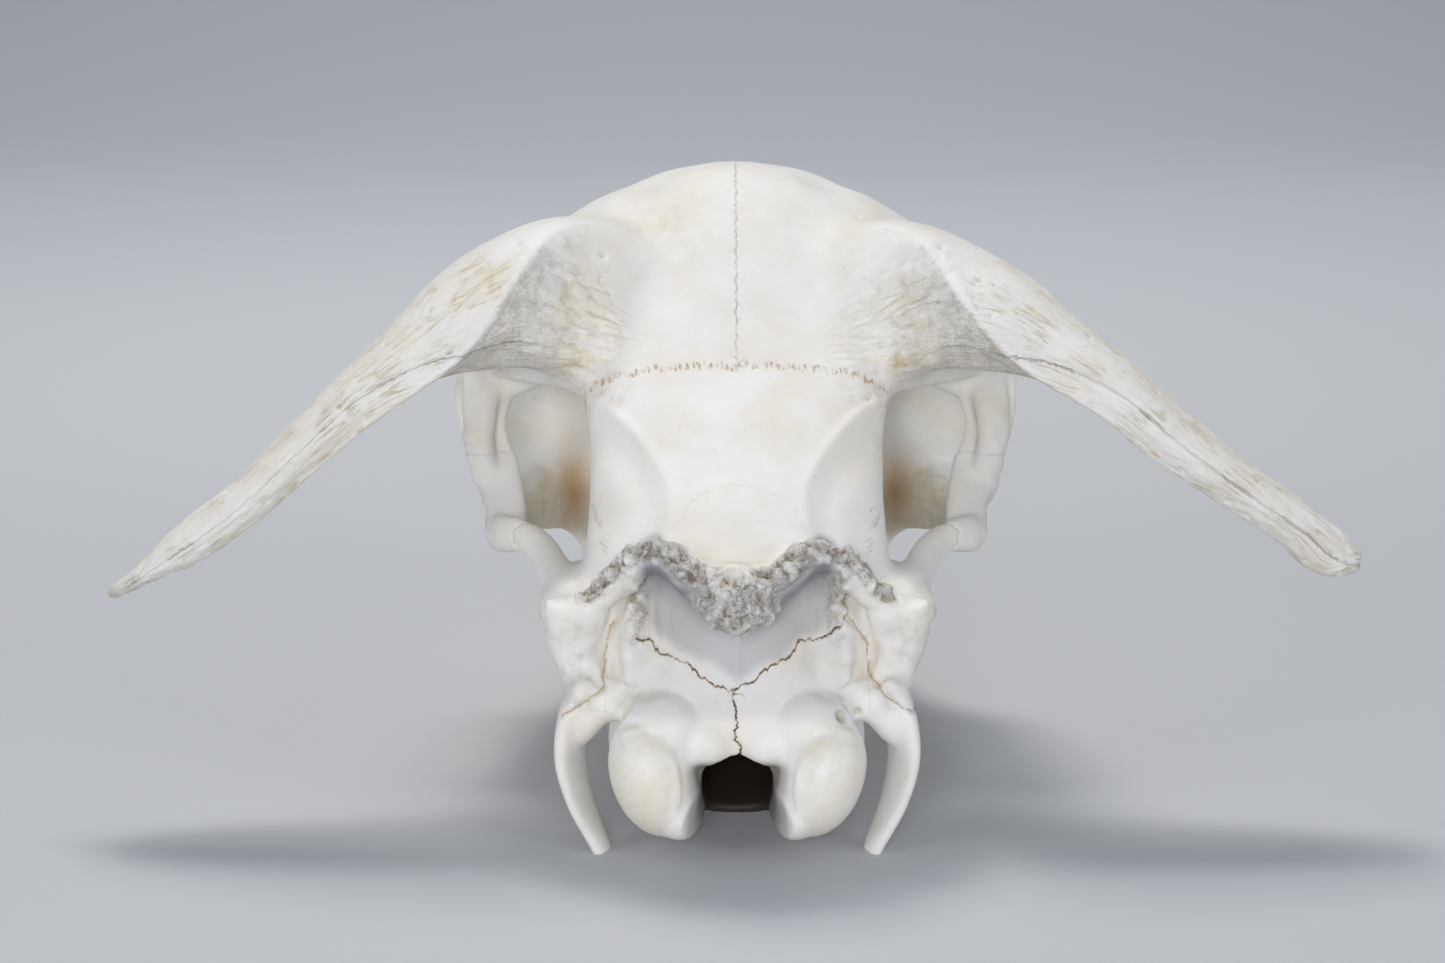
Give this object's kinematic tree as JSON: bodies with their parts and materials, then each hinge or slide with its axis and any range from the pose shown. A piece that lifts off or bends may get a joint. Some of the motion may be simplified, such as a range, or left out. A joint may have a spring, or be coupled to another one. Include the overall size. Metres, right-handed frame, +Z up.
{
  "type": "goat skull",
  "caption": "Life-size goat cranium without its lower jaw: domed forehead, bare backswept horn cores, ringed orbits and cheek teeth, resting on the teeth and the two paracondylar processes.",
  "frame": {"origin": "Under the middle of the skull, on the floor: the middle of the base of its bounding box.", "axes": "+Z up, +Y forward from the occiput to the nose, +X to the animal's right. The middle plane of the skull is within a millimetre of X = 0."},
  "size_m": [0.2516, 0.2066, 0.1291],
  "materials": {
    "occipital": "dry matte bone",
    "parietal": "dry matte bone",
    "skull_base": "dry matte bone",
    "frontal_left": "dry matte bone",
    "frontal_right": "dry matte bone",
    "horn_core_left": "dry porous bone",
    "horn_core_right": "dry porous bone",
    "temporal_left": "dry matte bone",
    "temporal_right": "dry matte bone",
    "zygomatic_left": "dry matte bone",
    "zygomatic_right": "dry matte bone",
    "lacrimal_left": "dry matte bone",
    "lacrimal_right": "dry matte bone",
    "maxilla_left": "dry matte bone, teeth a little glossier",
    "maxilla_right": "dry matte bone, teeth a little glossier",
    "premaxilla_left": "dry matte bone",
    "premaxilla_right": "dry matte bone",
    "nasal_left": "dry matte bone",
    "nasal_right": "dry matte bone"
  },
  "bodies": {
    "root": {"occipital": "occipital", "parietal": "parietal", "skull_base": "skull_base", "frontal_left": "frontal_left", "frontal_right": "frontal_right", "horn_core_left": "horn_core_left", "horn_core_right": "horn_core_right", "temporal_left": "temporal_left", "temporal_right": "temporal_right", "zygomatic_left": "zygomatic_left", "zygomatic_right": "zygomatic_right", "lacrimal_left": "lacrimal_left", "lacrimal_right": "lacrimal_right", "maxilla_left": "maxilla_left", "maxilla_right": "maxilla_right", "premaxilla_left": "premaxilla_left", "premaxilla_right": "premaxilla_right", "nasal_left": "nasal_left", "nasal_right": "nasal_right"}
  },
  "joints": []
}
